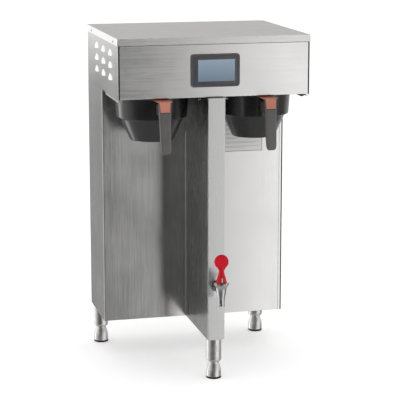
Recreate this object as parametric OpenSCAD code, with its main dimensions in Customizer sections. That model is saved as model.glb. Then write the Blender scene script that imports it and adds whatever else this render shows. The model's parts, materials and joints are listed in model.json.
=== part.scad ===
// Twin thermal-server coffee brewer: a T-shaped stainless stand that carries a brewing hood.
// Millimetres, +Z up, +X to the right of a person facing the machine, front towards -Y.
// The origin is on the counter, under the middle of the machine's outline.

/* [Body] */
// Overall width over the top cover's side flanges
cover_w = 508; // [480:1:540]
// Overall height, counter to the top of the cover
overall_h = 907; // [880:1:940]
// Depth of the hood, front panel to rear panel
hood_d = 438; // [420:1:460]
// Depth of the rear trunk that holds the water tank
trunk_d = 207; // [200:1:215]
// Height of the hood's lower edge above the counter
hood_z = 753; // [745:1:760]
// Height of the underside of the body above the counter
base_z = 110; // [105:1:115]
// Sheet steel thickness of every panel
sheet = 1.2; // [1:0.1:1.5]

/* [Centre column] */
// Width of the thin column that carries the faucet
col_w = 45; // [44:1:50]
// How far the column stands in front of the hood
col_proud = 16; // [10:1:20]

/* [Brew baskets] */
// Distance of each basket's axis from the middle
basket_x = 139; // [138:1:140]
// Distance of each basket's axis behind the hood's front
basket_y = 128; // [124:1:132]
// Outside radius of the top of the basket's band
band_r = 96.5; // [94:0.5:97]
// Outside radius of the basket's flat bottom
bottom_r = 58.5; // [54:0.5:62]
// Wall thickness of the moulded basket
basket_wall = 2.5; // [2:0.1:3]

/* [Faucet] */
// Height of the faucet's shank above the counter
shank_z = 257; // [250:1:270]
// Distance of the faucet's axis in front of the column
faucet_out = 52; // [48:1:58]
// Radius of the faucet body's rim
rim_r = 20; // [19:0.5:22]

/* [Legs] */
// Radius of each leg tube
leg_r = 20.5; // [18:0.5:20.5]
// Radius of the threaded stud of each levelling foot
stud_r = 8; // [6:0.5:9]

/* [Services] */
// How far the water inlet stands out behind the rear panel
inlet_out = 28; // [24:1:32]
// Thread radius of the male flare water inlet
inlet_r = 7.94; // [6:0.01:9]
// Radius of the cable gland's hole
gland_bore_r = 8; // [6:0.5:9]

/* [Hidden] */
$fn = 64;

steel = [0.72, 0.72, 0.71];
steel_dark = [0.55, 0.55, 0.55];
chrome = [0.82, 0.82, 0.84];
black = [0.06, 0.06, 0.06];
charcoal = [0.16, 0.16, 0.17];
copper = [0.80, 0.45, 0.33];
red = [0.80, 0.05, 0.09];
brass = [0.78, 0.62, 0.32];
green = [0.10, 0.35, 0.20];
silicone = [0.85, 0.84, 0.80];

// Gaps: between bodies that move past each other, and round a shank in its hole.
gap = 0.3;
hole_gap = 0.15;

// Everything below is measured from the hood's front face, then moved to the machine's middle.
col_front = -col_proud;
faucet_y = col_front - faucet_out;
front_end = faucet_y - rim_r;
rear_end = hood_d + inlet_out;
middle_y = (front_end + rear_end) / 2;

shell_w = cover_w - 3;
side_x = shell_w / 2;
side_in = side_x - sheet;
trunk_y = hood_d - trunk_d;
flange_h = 17.5;
flange_z = overall_h - flange_h;
cover_lap = sheet + gap;
col_x = col_w / 2;
floor_z = hood_z + 1.5;
rail_top = floor_z - 0.2;
plate_z = base_z + 0.4;
plate_t = 1.6;
deck_z = plate_z + plate_t;

// Screws
screw_r = 1.6;
screw_head_r = 3.4;
screw_head_h = 1.6;
cover_screw_ys = [53, 366];
cover_screw_z = flange_z + 6.5;
rear_screw_x = side_x - 9;
rear_screw_zs = [base_z + 20, 450, flange_z - 18];

// Side louvres: the upper halves of shallow spherical caps, open below
louvre_r = 16.5;
louvre_bulge = 5;
louvre_ball = (louvre_r * louvre_r + louvre_bulge * louvre_bulge) / (2 * louvre_bulge);
louvre_ys = [106, 202.5, 298];
louvre_zs = [793, 824.5, 856];
step_y = 174;
step_drop = 7;

// Display
bezel_w = 129;
bezel_z = 779.5;
bezel_h = 84.7;
screen_w = 97;
screen_h = 55.6;
screen_x0 = 2.5 - screen_w / 2;
screen_z = bezel_z + 14.5;

// Tank
tank_w = 380;
tank_y0 = trunk_y + 21;
tank_y1 = hood_d - 20;
tank_z = 450;
tank_h = 400;
tank_top = tank_z + tank_h;
lid_z = tank_top + 2;
outlet_z = tank_z + 30;
fill_x = -150;
element_xs = [-60, 60];
element_y = 335;
element_bend = 25;
probe_xs = [-120, 120];

// Dump valves
valve_x = 100;
valve_y = trunk_y - 3;
valve_z = 780;
coil_z = valve_z + 24;
coil_h = 40;
plunger_r = 6.5;

// Baskets
rim_z = hood_z - 2.5;
rim_t = 5;
wing_x = 103;
ledge_z = hood_z - 61;
bottom_z = hood_z - 123;
drain_r = 9;
lip_z = rim_z - rim_t - gap - 0.1;

// Handles of the baskets
grip_top_y = -26;
grip_end_y = -41.5;
grip_end_z = 616;
grip_t = 14.5;
grip_top_w = 32.5;
grip_w = 30;
grip_end_w = 27;
insert_z = 722;
insert_top = hood_z - 4;
insert_w = 24.5;
insert_top_w = 28.5;
insert_deep = 3.5;
insert_proud = 0.6;
brim_low_z = insert_top - 1.8;
brim_x = 20;
shoulder_z = brim_low_z - 0.9;

// Faucet
seat_z = shank_z - 11;
cup_floor = shank_z + 13;
rim_top = shank_z + 19;
pivot_z = shank_z + 30;
pin_r = 1.5;
shank_r = 8;
water_r = 4.5;
nozzle_r = 5.5;
stem_r = 4;
chamber_r = 8;
spring_z0 = seat_z + 7.4;
spring_z1 = cup_floor - 2.2;

// Legs: one under the column, two under the trunk's rear corners
leg_spots = [[0, col_front + 26], [-230, hood_d - 25], [230, hood_d - 25]];
leg_low = base_z - 64;
bore_gap = 0.05;

// Rear services
inlet_x = -170;
inlet_z = 165;
gland_x = 170;
gland_z = 150;
switch_x = 170;
switch_z = 235;

// ---- Shared shapes ----

// Moves a shape measured from the hood's front face into the machine's frame.
module machine() {
    translate([0, -middle_y, 0]) children();
}

// Box between two opposite corners.
module slab(low, high) {
    translate(low) cube(high - low);
}

// Upright plate or block with round vertical corners.
module round_block(low, high, r) {
    size = high - low;
    translate(low) linear_extrude(size[2]) round_rect(size[0], size[1], r);
}

// Rectangle with round corners, its corner at the origin.
module round_rect(w, d, r) {
    translate([r, 0]) square([w - 2 * r, d]);
    translate([0, r]) square([w, d - 2 * r]);
    for (x = [r, w - r]) for (y = [r, d - r]) translate([x, y]) circle(r);
}

// Plate standing in the XZ plane, with round corners, its front face at y.
module round_panel(x0, x1, z0, z1, y, t, r) {
    translate([x0, y + t, z0]) rotate([90, 0, 0]) linear_extrude(t) round_rect(x1 - x0, z1 - z0, r);
}

// Round bar between two points.
module rod(a, b, r) {
    run = b - a;
    turn = [0, acos(run[2] / norm(run)), atan2(run[1], run[0])];
    translate(a) rotate(turn) cylinder(h = norm(run), r = r);
}

// Bent tube through a list of points, with a ball at each bend.
module bent_tube(points, r) {
    for (i = [1 : len(points) - 1]) rod(points[i - 1], points[i], r);
    for (i = [1 : len(points) - 2]) translate(points[i]) sphere(r * 1.03);
}

// Cylinder along Y from y0 to y1.
module bar_y(x, z, y0, y1, r, sides = $fn) {
    translate([x, y1, z]) rotate([90, 0, 0]) cylinder(h = y1 - y0, r = r, $fn = sides);
}

// Cylinder along X from x0 to x1.
module bar_x(x0, x1, y, z, r) {
    translate([x0, y, z]) rotate([0, 90, 0]) cylinder(h = x1 - x0, r = r);
}

// Keeps a left-hand shape (side = -1) or mirrors it to the right (side = 1).
module to_side(side) {
    if (side < 0) children();
    else mirror([1, 0, 0]) children();
}

// ---- Hood ----

module cover_holes(r) {
    for (y = cover_screw_ys) bar_x(-cover_w, cover_w, y, cover_screw_z, r);
}

module top_cover() {
    edge = cover_w / 2;
    inner = edge - sheet;
    color(steel) machine() difference() {
        round_block([-edge, -cover_lap, flange_z], [edge, hood_d + cover_lap, overall_h], 2.5);
        slab([-inner, -gap, flange_z - 1], [inner, hood_d + gap, overall_h - sheet]);
        cover_holes(screw_r + hole_gap);
    }
}

// The front panel stops short of the side panels, which leaves a narrow dark corner line.
module hood_front_panel() {
    edge = side_x - 3;
    color(steel) machine() difference() {
        union() {
            slab([-edge, 0, hood_z], [edge, sheet, overall_h - 1.5]);
            slab([-edge + 7, 0, hood_z], [edge - 7, 18, hood_z + sheet]);
        }
        window = bezel_w / 2 - 6;
        slab([-window, -1, bezel_z + 6], [window, sheet + 1, bezel_z + bezel_h - 6]);
    }
}

module louvre() {
    intersection() {
        difference() {
            translate([louvre_ball - louvre_bulge, 0, 0]) sphere(louvre_ball);
            translate([louvre_ball - louvre_bulge, 0, 0]) sphere(louvre_ball - sheet);
        }
        slab([-louvre_bulge - 1, -louvre_r - 5, 0], [sheet, louvre_r + 5, louvre_r + 5]);
    }
}

// Left side panel of the hood: its front part hangs lower and is hemmed.
module hood_side() {
    outline = [[1.5, hood_z - step_drop], [step_y, hood_z - step_drop], [step_y, hood_z - 0.7],
        [hood_d - 1.5, hood_z - 0.7], [hood_d - 1.5, overall_h - 1.5], [1.5, overall_h - 1.5]];
    difference() {
        union() {
            difference() {
                translate([-side_x, 0, 0]) rotate([90, 0, 90]) linear_extrude(sheet) polygon(outline);
                for (y = louvre_ys) for (z = louvre_zs) intersection() {
                    bar_x(-side_x - 1, -side_x + sheet + 1, y, z, louvre_r - 1.5);
                    slab([-side_x - 1, y - 20, z], [-side_x + sheet + 1, y + 20, z + 20]);
                }
            }
            slab([-side_x, 1.5, hood_z - step_drop], [-side_x + 9, 1.5 + sheet, overall_h - 1.5]);
            slab([-side_x, 1.5, hood_z - step_drop], [-side_x + 5, step_y, hood_z - step_drop + sheet]);
            for (y = louvre_ys) for (z = louvre_zs) translate([-side_x, y, z]) louvre();
        }
        cover_holes(screw_r + hole_gap);
    }
}

module hood_left_panel() {
    color(steel) machine() to_side(-1) hood_side();
}

module hood_right_panel() {
    color(steel) machine() to_side(1) hood_side();
}

module hood_floor() {
    color(steel_dark) machine() difference() {
        slab([-side_in + 1.5, 3.2, floor_z], [side_in - 1.5, trunk_y - 0.5, floor_z + sheet]);
        for (s = [-1, 1]) translate([s * basket_x, basket_y, floor_z - 1]) cylinder(h = 4, r = 16.2);
    }
}

module rail() {
    outer = wing_x + 3;
    slab([outer - sheet, 22, lip_z - sheet], [outer, trunk_y - 8, rail_top]);
    slab([wing_x - 4, 22, lip_z - sheet], [outer, trunk_y - 8, lip_z]);
}

module basket_rails() {
    color(steel) machine() for (s = [-1, 1]) translate([s * basket_x, 0, 0]) {
        rail();
        mirror([1, 0, 0]) rail();
    }
}

// ---- Trunk and column ----

module rear_holes(r) {
    for (s = [-1, 1]) for (z = rear_screw_zs) bar_y(s * rear_screw_x, z, hood_d - 6, hood_d + 4, r);
}

module trunk_side() {
    top = hood_z - 1.3;
    difference() {
        union() {
            slab([-side_x, trunk_y, base_z], [-side_x + sheet, hood_d, top]);
            slab([-side_x, trunk_y, base_z], [-side_x + 9, trunk_y + sheet, top]);
            slab([-side_x, hood_d - 2.7, base_z], [-side_x + 16, hood_d - 1.5, top]);
        }
        rear_holes(screw_r + hole_gap);
    }
}

module trunk_left_panel() {
    color(steel) machine() to_side(-1) trunk_side();
}

module trunk_right_panel() {
    color(steel) machine() to_side(1) trunk_side();
}

module trunk_front() {
    front = trunk_y + sheet + 0.1;
    inner = -col_x - 0.2;
    top = floor_z - 0.3;
    slab([-side_x + 1.5, front, base_z], [inner, front + sheet, top]);
    slab([inner - sheet, front, base_z], [inner, trunk_y + 14, top]);
}

module trunk_front_left_panel() {
    color(steel) machine() to_side(-1) trunk_front();
}

module trunk_front_right_panel() {
    color(steel) machine() to_side(1) trunk_front();
}

module column_shell() {
    top = hood_z - 1;
    in_x = col_x - sheet;
    color(steel) machine() difference() {
        slab([-col_x, col_front, base_z], [col_x, trunk_y + 12, top]);
        slab([-in_x, col_front + sheet, base_z - 1], [in_x, trunk_y + 13, top - sheet]);
        bar_y(0, shank_z, col_front - 1, col_front + sheet + 1, shank_r + hole_gap);
        slab([-in_x, 40, top - sheet - 1], [in_x, trunk_y + 13, top + 1]);
    }
}

module rear_panel() {
    color(steel) machine() difference() {
        slab([-side_in + 0.4, hood_d - sheet, base_z], [side_in - 0.4, hood_d, flange_z + 8]);
        rear_holes(screw_r + hole_gap);
        bar_y(inlet_x, inlet_z, hood_d - 3, hood_d + 1, inlet_r + 1);
        bar_y(gland_x, gland_z, hood_d - 3, hood_d + 1, gland_bore_r + 3.2);
        slab([switch_x - 12, hood_d - 3, switch_z - 16], [switch_x + 12, hood_d + 1, switch_z + 16]);
        for (z = [790 : 12 : 850]) for (x = [-110, 30]) slab([x, hood_d - 3, z], [x + 80, hood_d + 1, z + 4]);
    }
}

module stud_holes(spots) {
    for (p = spots) translate([p[0], p[1], plate_z - 1]) cylinder(h = plate_t + 2, r = 5);
}

module trunk_base_plate() {
    color(steel_dark) machine() difference() {
        slab([-side_in + 0.5, trunk_y + 4, plate_z], [side_in - 0.5, hood_d - 3, deck_z]);
        slab([-col_x - 3, trunk_y + 3, plate_z - 1], [col_x + 3, trunk_y + 15, deck_z + 1]);
        stud_holes([leg_spots[1], leg_spots[2]]);
    }
}

module column_base_plate() {
    inner = col_x - sheet - 0.3;
    color(steel_dark) machine() difference() {
        slab([-inner, col_front + sheet + 0.3, plate_z], [inner, trunk_y + 12, deck_z]);
        stud_holes([leg_spots[0]]);
    }
}

module screw_x() {
    bar_x(-cover_w / 2 - screw_head_h, -cover_w / 2, 0, 0, screw_head_r);
    bar_x(-cover_w / 2, -cover_w / 2 + 6, 0, 0, screw_r);
}

module panel_screws() {
    color(chrome) machine() {
        for (s = [-1, 1]) to_side(s) for (y = cover_screw_ys) translate([0, y, cover_screw_z]) screw_x();
        for (s = [-1, 1]) for (z = rear_screw_zs) {
            bar_y(s * rear_screw_x, z, hood_d, hood_d + screw_head_h, screw_head_r);
            bar_y(s * rear_screw_x, z, hood_d - 4, hood_d, screw_r);
        }
    }
}

// ---- Legs and feet ----

module leg_tube() {
    shoulder = [[0, leg_low], [leg_r - 5.5, leg_low], [leg_r - 1.9, leg_low + 2],
        [leg_r - 0.4, leg_low + 4.5], [leg_r, leg_low + 7], [leg_r, plate_z - 0.1], [0, plate_z - 0.1]];
    difference() {
        union() {
            rotate_extrude() polygon(shoulder);
            translate([0, 0, leg_low + 6]) cylinder(h = deck_z + 9 - leg_low - 6, r = 4.9);
        }
        translate([0, 0, leg_low - 1]) cylinder(h = 50, r = stud_r + bore_gap);
    }
}

module leg_tubes() {
    color(chrome) machine() for (p = leg_spots) translate([p[0], p[1], 0]) leg_tube();
}

// Levelling foot: a threaded stud on a bell that stands on the counter.
module foot(spot) {
    top = leg_low - 0.5;
    bell = [[0, 0], [19, 0], [19.8, 1.2], [20, 4], [20, 15], [19.5, 22], [17.8, 30.5], [15.4, 37.5],
        [13.9, 42], [13.6, top], [0, top]];
    color(chrome) machine() translate([spot[0], spot[1], 0]) {
        rotate_extrude() polygon(bell);
        translate([0, 0, top - 1]) cylinder(h = 43, r = stud_r);
    }
}

module front_foot() {
    foot(leg_spots[0]);
}

module rear_left_foot() {
    foot(leg_spots[1]);
}

module rear_right_foot() {
    foot(leg_spots[2]);
}

// ---- Display ----

module display_bezel() {
    half = bezel_w / 2;
    color(charcoal) machine() difference() {
        union() {
            round_panel(-half, half, bezel_z, bezel_z + bezel_h, -3, 3, 8);
            round_panel(-half + 2, half - 2, bezel_z + 2, bezel_z + bezel_h - 2, -5, 3, 6.5);
        }
        slab([-half + 7, -6, bezel_z + 7], [half - 7, 1, bezel_z + bezel_h - 7]);
    }
}

module touchscreen_glass() {
    half = bezel_w / 2 - 7;
    color(charcoal) machine() difference() {
        slab([-half, -4.4, bezel_z + 7], [half, -2.6, bezel_z + bezel_h - 7]);
        slab([screen_x0, -5, screen_z], [screen_x0 + screen_w, -2, screen_z + screen_h]);
    }
}

module lcd_panel() {
    color([0.46, 0.54, 0.62]) machine()
        slab([screen_x0, -4.2, screen_z], [screen_x0 + screen_w, -2.6, screen_z + screen_h]);
}

module display_module() {
    half = bezel_w / 2 - 8;
    color(black) machine() slab([-half, -2.4, bezel_z + 8], [half, 24, bezel_z + bezel_h - 8]);
}

module control_board() {
    color(green) machine() {
        slab([-110, 34, 770], [110, 35.6, 872]);
        for (x = [-90, -50, 20, 60]) slab([x, 35.6, 785], [x + 24, 49, 810]);
        for (x = [-80, 0, 70]) bar_y(x, 845, 35.6, 55, 9);
    }
}

// ---- Water tank ----

module tank_box(grow, z0, z1) {
    half = tank_w / 2 + grow;
    round_block([-half, tank_y0 - grow, z0], [half, tank_y1 + grow, z1], 14 + grow);
}

module water_tank() {
    color(steel_dark) machine() difference() {
        union() {
            tank_box(0, tank_z, tank_top);
            tank_box(8, tank_top - 2, tank_top);
        }
        tank_box(-sheet, tank_z + sheet, tank_top + 1);
        bar_y(0, outlet_z, tank_y0 - 1, tank_y0 + 2, 6.1);
        translate([fill_x, element_y, tank_z - 1]) cylinder(h = 3, r = 6.1);
        for (s = [-1, 1]) bar_y(s * valve_x, valve_z + 12, tank_y0 - 1, tank_y0 + 2, 8.1);
    }
}

module tank_gasket() {
    color(silicone) machine() difference() {
        tank_box(8, tank_top, lid_z);
        tank_box(-sheet, tank_top - 1, lid_z + 1);
    }
}

module tank_lid() {
    color(steel_dark) machine() difference() {
        tank_box(8, lid_z, lid_z + 2);
        for (x = element_xs) for (s = [-element_bend, element_bend])
            translate([x + s, element_y, lid_z - 1]) cylinder(h = 4, r = 4.1);
        for (x = probe_xs) translate([x, element_y, lid_z - 1]) cylinder(h = 4, r = 3.1);
    }
}

module heating_elements() {
    low = tank_z + 70;
    color(brass) machine() for (x = element_xs) translate([x, element_y, 0]) {
        for (s = [-element_bend, element_bend]) translate([s, 0, low]) cylinder(h = lid_z + 12 - low, r = 4);
        translate([0, 0, low]) rotate([-90, 0, 0])
            rotate_extrude(angle = 180) translate([element_bend, 0]) circle(4);
    }
}

module tank_probes() {
    color(chrome) machine() for (i = [0, 1]) translate([probe_xs[i], element_y, 0]) {
        translate([0, 0, tank_top - 60 - 90 * i]) cylinder(h = 76 + 90 * i, r = 3);
    }
}

// ---- Water valves and tubes ----

// Solenoid valve: a body block with a coil round a blind plunger bore.
module solenoid(block, coil_r, coil_len, bore_r) {
    difference() {
        union() {
            slab([-block / 2, -block / 2, 0], [block / 2, block / 2, 24]);
            translate([0, 0, 23]) cylinder(h = coil_len + 1, r = coil_r);
        }
        translate([0, 0, 20]) cylinder(h = coil_len, r = bore_r);
    }
}

module dump_valves() {
    color(silicone) machine() for (s = [-1, 1]) {
        translate([s * valve_x, valve_y, valve_z]) solenoid(36, 19, coil_h, plunger_r + bore_gap);
        bar_y(s * valve_x, valve_z + 12, valve_y + 17, tank_y0 + 8, 8);
    }
}

module dump_plunger(side) {
    color(steel) machine()
        translate([side * valve_x, valve_y, valve_z + 20.3]) cylinder(h = 34, r = plunger_r);
}

module left_dump_plunger() {
    dump_plunger(-1);
}

module right_dump_plunger() {
    dump_plunger(1);
}

module spray_hoses() {
    hose_z = valve_z + 12;
    route = [[-valve_x, valve_y - 18.1, hose_z], [-valve_x, basket_y, hose_z], [-basket_x, basket_y, hose_z],
        [-basket_x, basket_y, floor_z + 16.2]];
    color(silicone) machine() for (s = [-1, 1]) to_side(s) bent_tube(route, 6);
}

module sprayheads() {
    color(charcoal) machine() for (s = [-1, 1]) translate([s * basket_x, basket_y, 0]) difference() {
        union() {
            translate([0, 0, floor_z - 2.5]) cylinder(h = 2.3, r = 32);
            translate([0, 0, floor_z - 1]) cylinder(h = 17, r = 16);
        }
        for (i = [0 : 7]) rotate([0, 0, 45 * i]) translate([24, 0, floor_z - 3]) cylinder(h = 4, r = 1.5);
    }
}

module inlet_valve() {
    color(charcoal) machine() translate([inlet_x, hood_d - 24, inlet_z - 12]) {
        slab([-16, -16, 0], [16, 16, 24]);
        translate([0, 0, 23]) cylinder(h = 34, r = 15);
    }
}

module inlet_fitting() {
    tip = hood_d + inlet_out;
    color(brass) machine() difference() {
        union() {
            bar_y(inlet_x, inlet_z, hood_d - 7.9, hood_d + 0.1, inlet_r);
            bar_y(inlet_x, inlet_z, hood_d + 0.1, hood_d + 8, 12, 6);
            bar_y(inlet_x, inlet_z, hood_d + 8, hood_d + 22, inlet_r);
            translate([inlet_x, hood_d + 22, inlet_z]) rotate([-90, 0, 0])
                cylinder(h = inlet_out - 22, r1 = 7, r2 = 5);
        }
        bar_y(inlet_x, inlet_z, hood_d - 10, tip + 1, 3.6);
    }
}

module water_tubes() {
    fill = [[inlet_x, hood_d - 40.1, inlet_z], [inlet_x, 380, inlet_z],
        [fill_x, element_y, inlet_z + 60], [fill_x, element_y, tank_z]];
    supply = [[0, tank_y0 + 1, outlet_z], [0, 24, outlet_z], [0, 24, shank_z], [0, 8.2, shank_z]];
    color(silicone) machine() {
        bent_tube(fill, 6);
        bent_tube(supply, 6);
    }
}

// ---- Electrical parts ----

module relay_heat_sink() {
    color(steel_dark) machine() {
        slab([40, 300, deck_z], [140, 380, deck_z + 6]);
        for (i = [0 : 6]) slab([40, 300 + 13 * i, deck_z + 5], [140, 302 + 13 * i, deck_z + 36]);
    }
}

module heater_relay() {
    color(black) machine() slab([62, 301, deck_z + 36.1], [118, 379, deck_z + 60]);
}

module terminal_block() {
    color(silicone) machine() difference() {
        slab([140, 388, deck_z], [206, 410, deck_z + 22]);
        for (i = [0 : 3]) slab([144 + 15 * i, 387, deck_z + 12], [156 + 15 * i, 400, deck_z + 23]);
    }
}

module switch_housing() {
    color(black) machine() translate([switch_x, hood_d, switch_z]) difference() {
        union() {
            slab([-11.5, -16, -15.5], [11.5, 0.1, 15.5]);
            slab([-14, 0.1, -18], [14, 2, 18]);
        }
        slab([-9.3, -10, -13.3], [9.3, 3, 13.3]);
        bar_x(-10.6, 10.6, -1, 0, pin_r + bore_gap);
    }
}

// The rocker's upper half stands out at rest, and is pressed in to switch on.
module switch_rocker() {
    face = [[-4, -8], [1, -11.5], [2.5, 0], [6, 11.2], [3, 11.5], [-4, 8]];
    color(black) machine() translate([switch_x, hood_d - 1, switch_z]) {
        translate([-9, 0, 0]) rotate([90, 0, 90]) linear_extrude(18) polygon(face);
        bar_x(-10.5, 10.5, 0, 0, pin_r);
    }
}

module cable_gland() {
    color(black) machine() difference() {
        union() {
            bar_y(gland_x, gland_z, hood_d - 14, hood_d + 1, gland_bore_r + 3);
            bar_y(gland_x, gland_z, hood_d + 0.1, hood_d + 8, 17, 6);
            bar_y(gland_x, gland_z, hood_d + 7, hood_d + 22, gland_bore_r + 5);
        }
        bar_y(gland_x, gland_z, hood_d - 15, hood_d + 23, gland_bore_r);
    }
}

// ---- Hot water faucet ----

module faucet_shank() {
    color(chrome) machine() difference() {
        union() {
            bar_y(0, shank_z, faucet_y + 15, 8, shank_r);
            bar_y(0, shank_z, col_front - 3, col_front, 15);
        }
        bar_y(0, shank_z, faucet_y, 9, water_r);
    }
}

module faucet_nut() {
    color(chrome) machine() difference() {
        bar_y(0, shank_z, col_front + sheet, col_front + sheet + 7, 13, 6);
        bar_y(0, shank_z, col_front, col_front + sheet + 8, shank_r + bore_gap);
    }
}

module faucet_body() {
    outside = [[0, shank_z - 40], [8.6, shank_z - 40], [9.4, shank_z - 39], [9.2, shank_z - 36],
        [8.6, shank_z - 31], [9.2, shank_z - 23], [11.4, shank_z - 11], [13.2, shank_z],
        [15, shank_z + 9], [17.6, shank_z + 14], [rim_r, rim_top - 1], [rim_r, rim_top], [0, rim_top]];
    color(chrome) machine() translate([0, faucet_y, 0]) difference() {
        union() {
            rotate_extrude() polygon(outside);
            bar_y(0, shank_z, 9, 28, shank_r + 2.5);
        }
        translate([0, 0, shank_z - 41]) cylinder(h = 40, r = nozzle_r);
        translate([0, 0, seat_z]) cylinder(h = 18, r = chamber_r);
        translate([0, 0, shank_z + 1]) cylinder(h = 20, r = 11 + bore_gap);
        translate([0, 0, cup_floor]) cylinder(h = rim_top - cup_floor + 0.1, r1 = 15, r2 = rim_r - 1.6);
        bar_y(0, shank_z, 4, 20, water_r);
        bar_y(0, shank_z, 14.9, 29, shank_r + bore_gap);
    }
}

module faucet_bonnet() {
    color(chrome) machine() translate([0, faucet_y, 0]) difference() {
        union() {
            translate([0, 0, shank_z + 1.2]) cylinder(h = cup_floor - shank_z, r = 11);
            translate([0, 0, cup_floor + 0.1]) cylinder(h = 2.6, r = 13);
        }
        translate([0, 0, shank_z]) cylinder(h = 20, r = stem_r + bore_gap);
        translate([0, 0, shank_z]) cylinder(h = spring_z1 - shank_z + 0.3, r = 7.5);
    }
}

// Coil spring that holds the faucet shut: a wire swept along a helix.
spring_turns = 5;
spring_steps = 12;
spring_coil_r = 5.9;
spring_wire_r = 0.55;
spring_sides = 6;

function helix(i) =
    let (turn = 360 * i / spring_steps)
    let (rise = (spring_z1 - spring_z0 - 2 * spring_wire_r) * i / (spring_turns * spring_steps))
    [spring_coil_r * cos(turn), spring_coil_r * sin(turn), spring_z0 + spring_wire_r + rise];

function wire_ring(i) = [for (k = [0 : spring_sides - 1])
    let (turn = 360 * i / spring_steps, around = 360 * k / spring_sides)
    helix(i) + spring_wire_r * [cos(around) * cos(turn), cos(around) * sin(turn), sin(around)]];

module faucet_spring() {
    rings = spring_turns * spring_steps;
    points = [for (i = [0 : rings]) each wire_ring(i)];
    walls = [for (i = [0 : rings - 1]) for (k = [0 : spring_sides - 1])
        let (a = i * spring_sides, b = a + spring_sides, n = (k + 1) % spring_sides)
        [a + k, b + k, b + n, a + n]];
    first = [for (k = [0 : spring_sides - 1]) k];
    last = [for (k = [spring_sides - 1 : -1 : 0]) rings * spring_sides + k];
    color(steel) machine() translate([0, faucet_y, 0])
        polyhedron(points = points, faces = concat(walls, [first, last]), convexity = 10);
}

module faucet_stem() {
    color(chrome) machine() translate([0, faucet_y, 0]) difference() {
        union() {
            translate([0, 0, seat_z + 3]) cylinder(h = pivot_z - 7 - seat_z - 3, r = stem_r);
            translate([0, 0, seat_z + 6.3]) cylinder(h = 1, r = 7);
            intersection() {
                slab([-3.5, -4, pivot_z - 9], [3.5, 4, pivot_z + 4]);
                translate([0, 0, pivot_z - 9]) cylinder(h = 13, r = stem_r);
            }
        }
        bar_x(-6, 6, 0, pivot_z, pin_r + bore_gap);
    }
}

module faucet_seat_cup() {
    color(silicone) machine() translate([0, faucet_y, seat_z + 0.2]) difference() {
        cylinder(h = 6, r = 7.4);
        translate([0, 0, 2.7]) cylinder(h = 4, r = stem_r + 0.02);
    }
}

// Pull handle: a flared, slotted base that rocks on the pin, and a round paddle.
module faucet_handle() {
    skirt_z = rim_top + 1.5;
    neck_z = shank_z + 56;
    knob_z = shank_z + 77.5;
    knob_r = 19;
    knob_t = 5.5;
    cone = [[0, skirt_z], [14.2, skirt_z], [14.8, skirt_z + 1], [14.4, skirt_z + 4], [10.5, skirt_z + 17],
        [7.4, neck_z - 8], [6.5, neck_z], [6.2, neck_z + 8], [0, neck_z + 8]];
    blend = [[-6, neck_z - 1], [6, neck_z - 1], [14.5, knob_z - 10], [-14.5, knob_z - 10]];
    knob = [[0, -knob_t], [knob_r - 2.5, -knob_t], [knob_r - 0.7, -knob_t + 1.8], [knob_r, 0],
        [knob_r - 0.7, knob_t - 1.8], [knob_r - 2.5, knob_t], [0, knob_t]];
    color(red) machine() translate([0, faucet_y, 0]) difference() {
        union() {
            rotate_extrude() polygon(cone);
            translate([0, 5, 0]) rotate([90, 0, 0]) linear_extrude(10) polygon(blend);
            translate([0, 0, knob_z]) rotate([90, 0, 0]) rotate_extrude() polygon(knob);
        }
        slab([-4.1, -20, skirt_z - 1], [4.1, 20, pivot_z + 6]);
        bar_x(-20, 20, 0, pivot_z, pin_r + 0.01);
    }
}

module faucet_pin() {
    color(chrome) machine() bar_x(-11, 11, faucet_y, pivot_z, pin_r);
}

// ---- Brew baskets ----

module basket(side) {
    w = basket_wall;
    low_band = band_r - 3.5;
    step_r = band_r - 13.5;
    brim_z = rim_z - rim_t;
    brim_r = band_r + 2.5;
    outside = [[0, bottom_z], [bottom_r - 2, bottom_z], [bottom_r, bottom_z + 2.5],
        [step_r, ledge_z - 5], [low_band - 1, ledge_z - 1], [low_band, ledge_z + 1],
        [band_r, brim_z], [brim_r, brim_z], [brim_r, rim_z], [0, rim_z]];
    inside = [[0, bottom_z + w], [bottom_r - 2.4, bottom_z + w], [step_r - w - 0.3, ledge_z - 4.4],
        [low_band - w - 0.4, ledge_z + 1.2], [band_r - w, brim_z], [band_r - w, rim_z + 1],
        [0, rim_z + 1]];
    color(black) machine() translate([side * basket_x, basket_y, 0]) difference() {
        union() {
            rotate_extrude() polygon(outside);
            slab([-wing_x, -60, brim_z], [wing_x, 60, rim_z]);
        }
        rotate_extrude() polygon(inside);
        translate([0, 0, bottom_z - 1]) cylinder(h = w + 2, r = drain_r);
    }
}

module left_basket() {
    basket(-1);
}

module right_basket() {
    basket(1);
}

// Flat section of the handle, w wide and t thick, centred at height z and distance y.
module grip_section(w, t, y, z, r) {
    translate([-w / 2, y - t / 2, z]) linear_extrude(0.5) round_rect(w, t, r, $fn = 32);
}

grip_lean = (grip_top_y - grip_end_y) / (insert_top - grip_end_z);

function grip_y(z) = grip_end_y + grip_lean * (z - grip_end_z);

module basket_handle(side) {
    arm_end = basket_y - band_r + 3.2;
    color(charcoal) machine() translate([side * basket_x, 0, 0]) {
        difference() {
            hull() {
                grip_section(grip_top_w, grip_t, grip_y(shoulder_z), shoulder_z, 5);
                grip_section(grip_w, grip_t, grip_y(insert_z), insert_z, 5);
                grip_section(grip_end_w, grip_t, grip_y(grip_end_z + 12), grip_end_z + 12, 5);
                grip_section(grip_end_w - 3, grip_t - 2, grip_y(grip_end_z + 4), grip_end_z + 3.5, 5);
                grip_section(grip_end_w - 11, grip_t - 6.5, grip_y(grip_end_z), grip_end_z, 3.5);
            }
            insert_plate(gap);
        }
        slab([-9, grip_y(insert_z) + 2, insert_z - 14], [9, grip_y(insert_z) + 18, insert_z - 4]);
        slab([-9, grip_y(insert_z) + 9.2, insert_z - 14], [9, arm_end, insert_z + 14]);
    }
}

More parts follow.
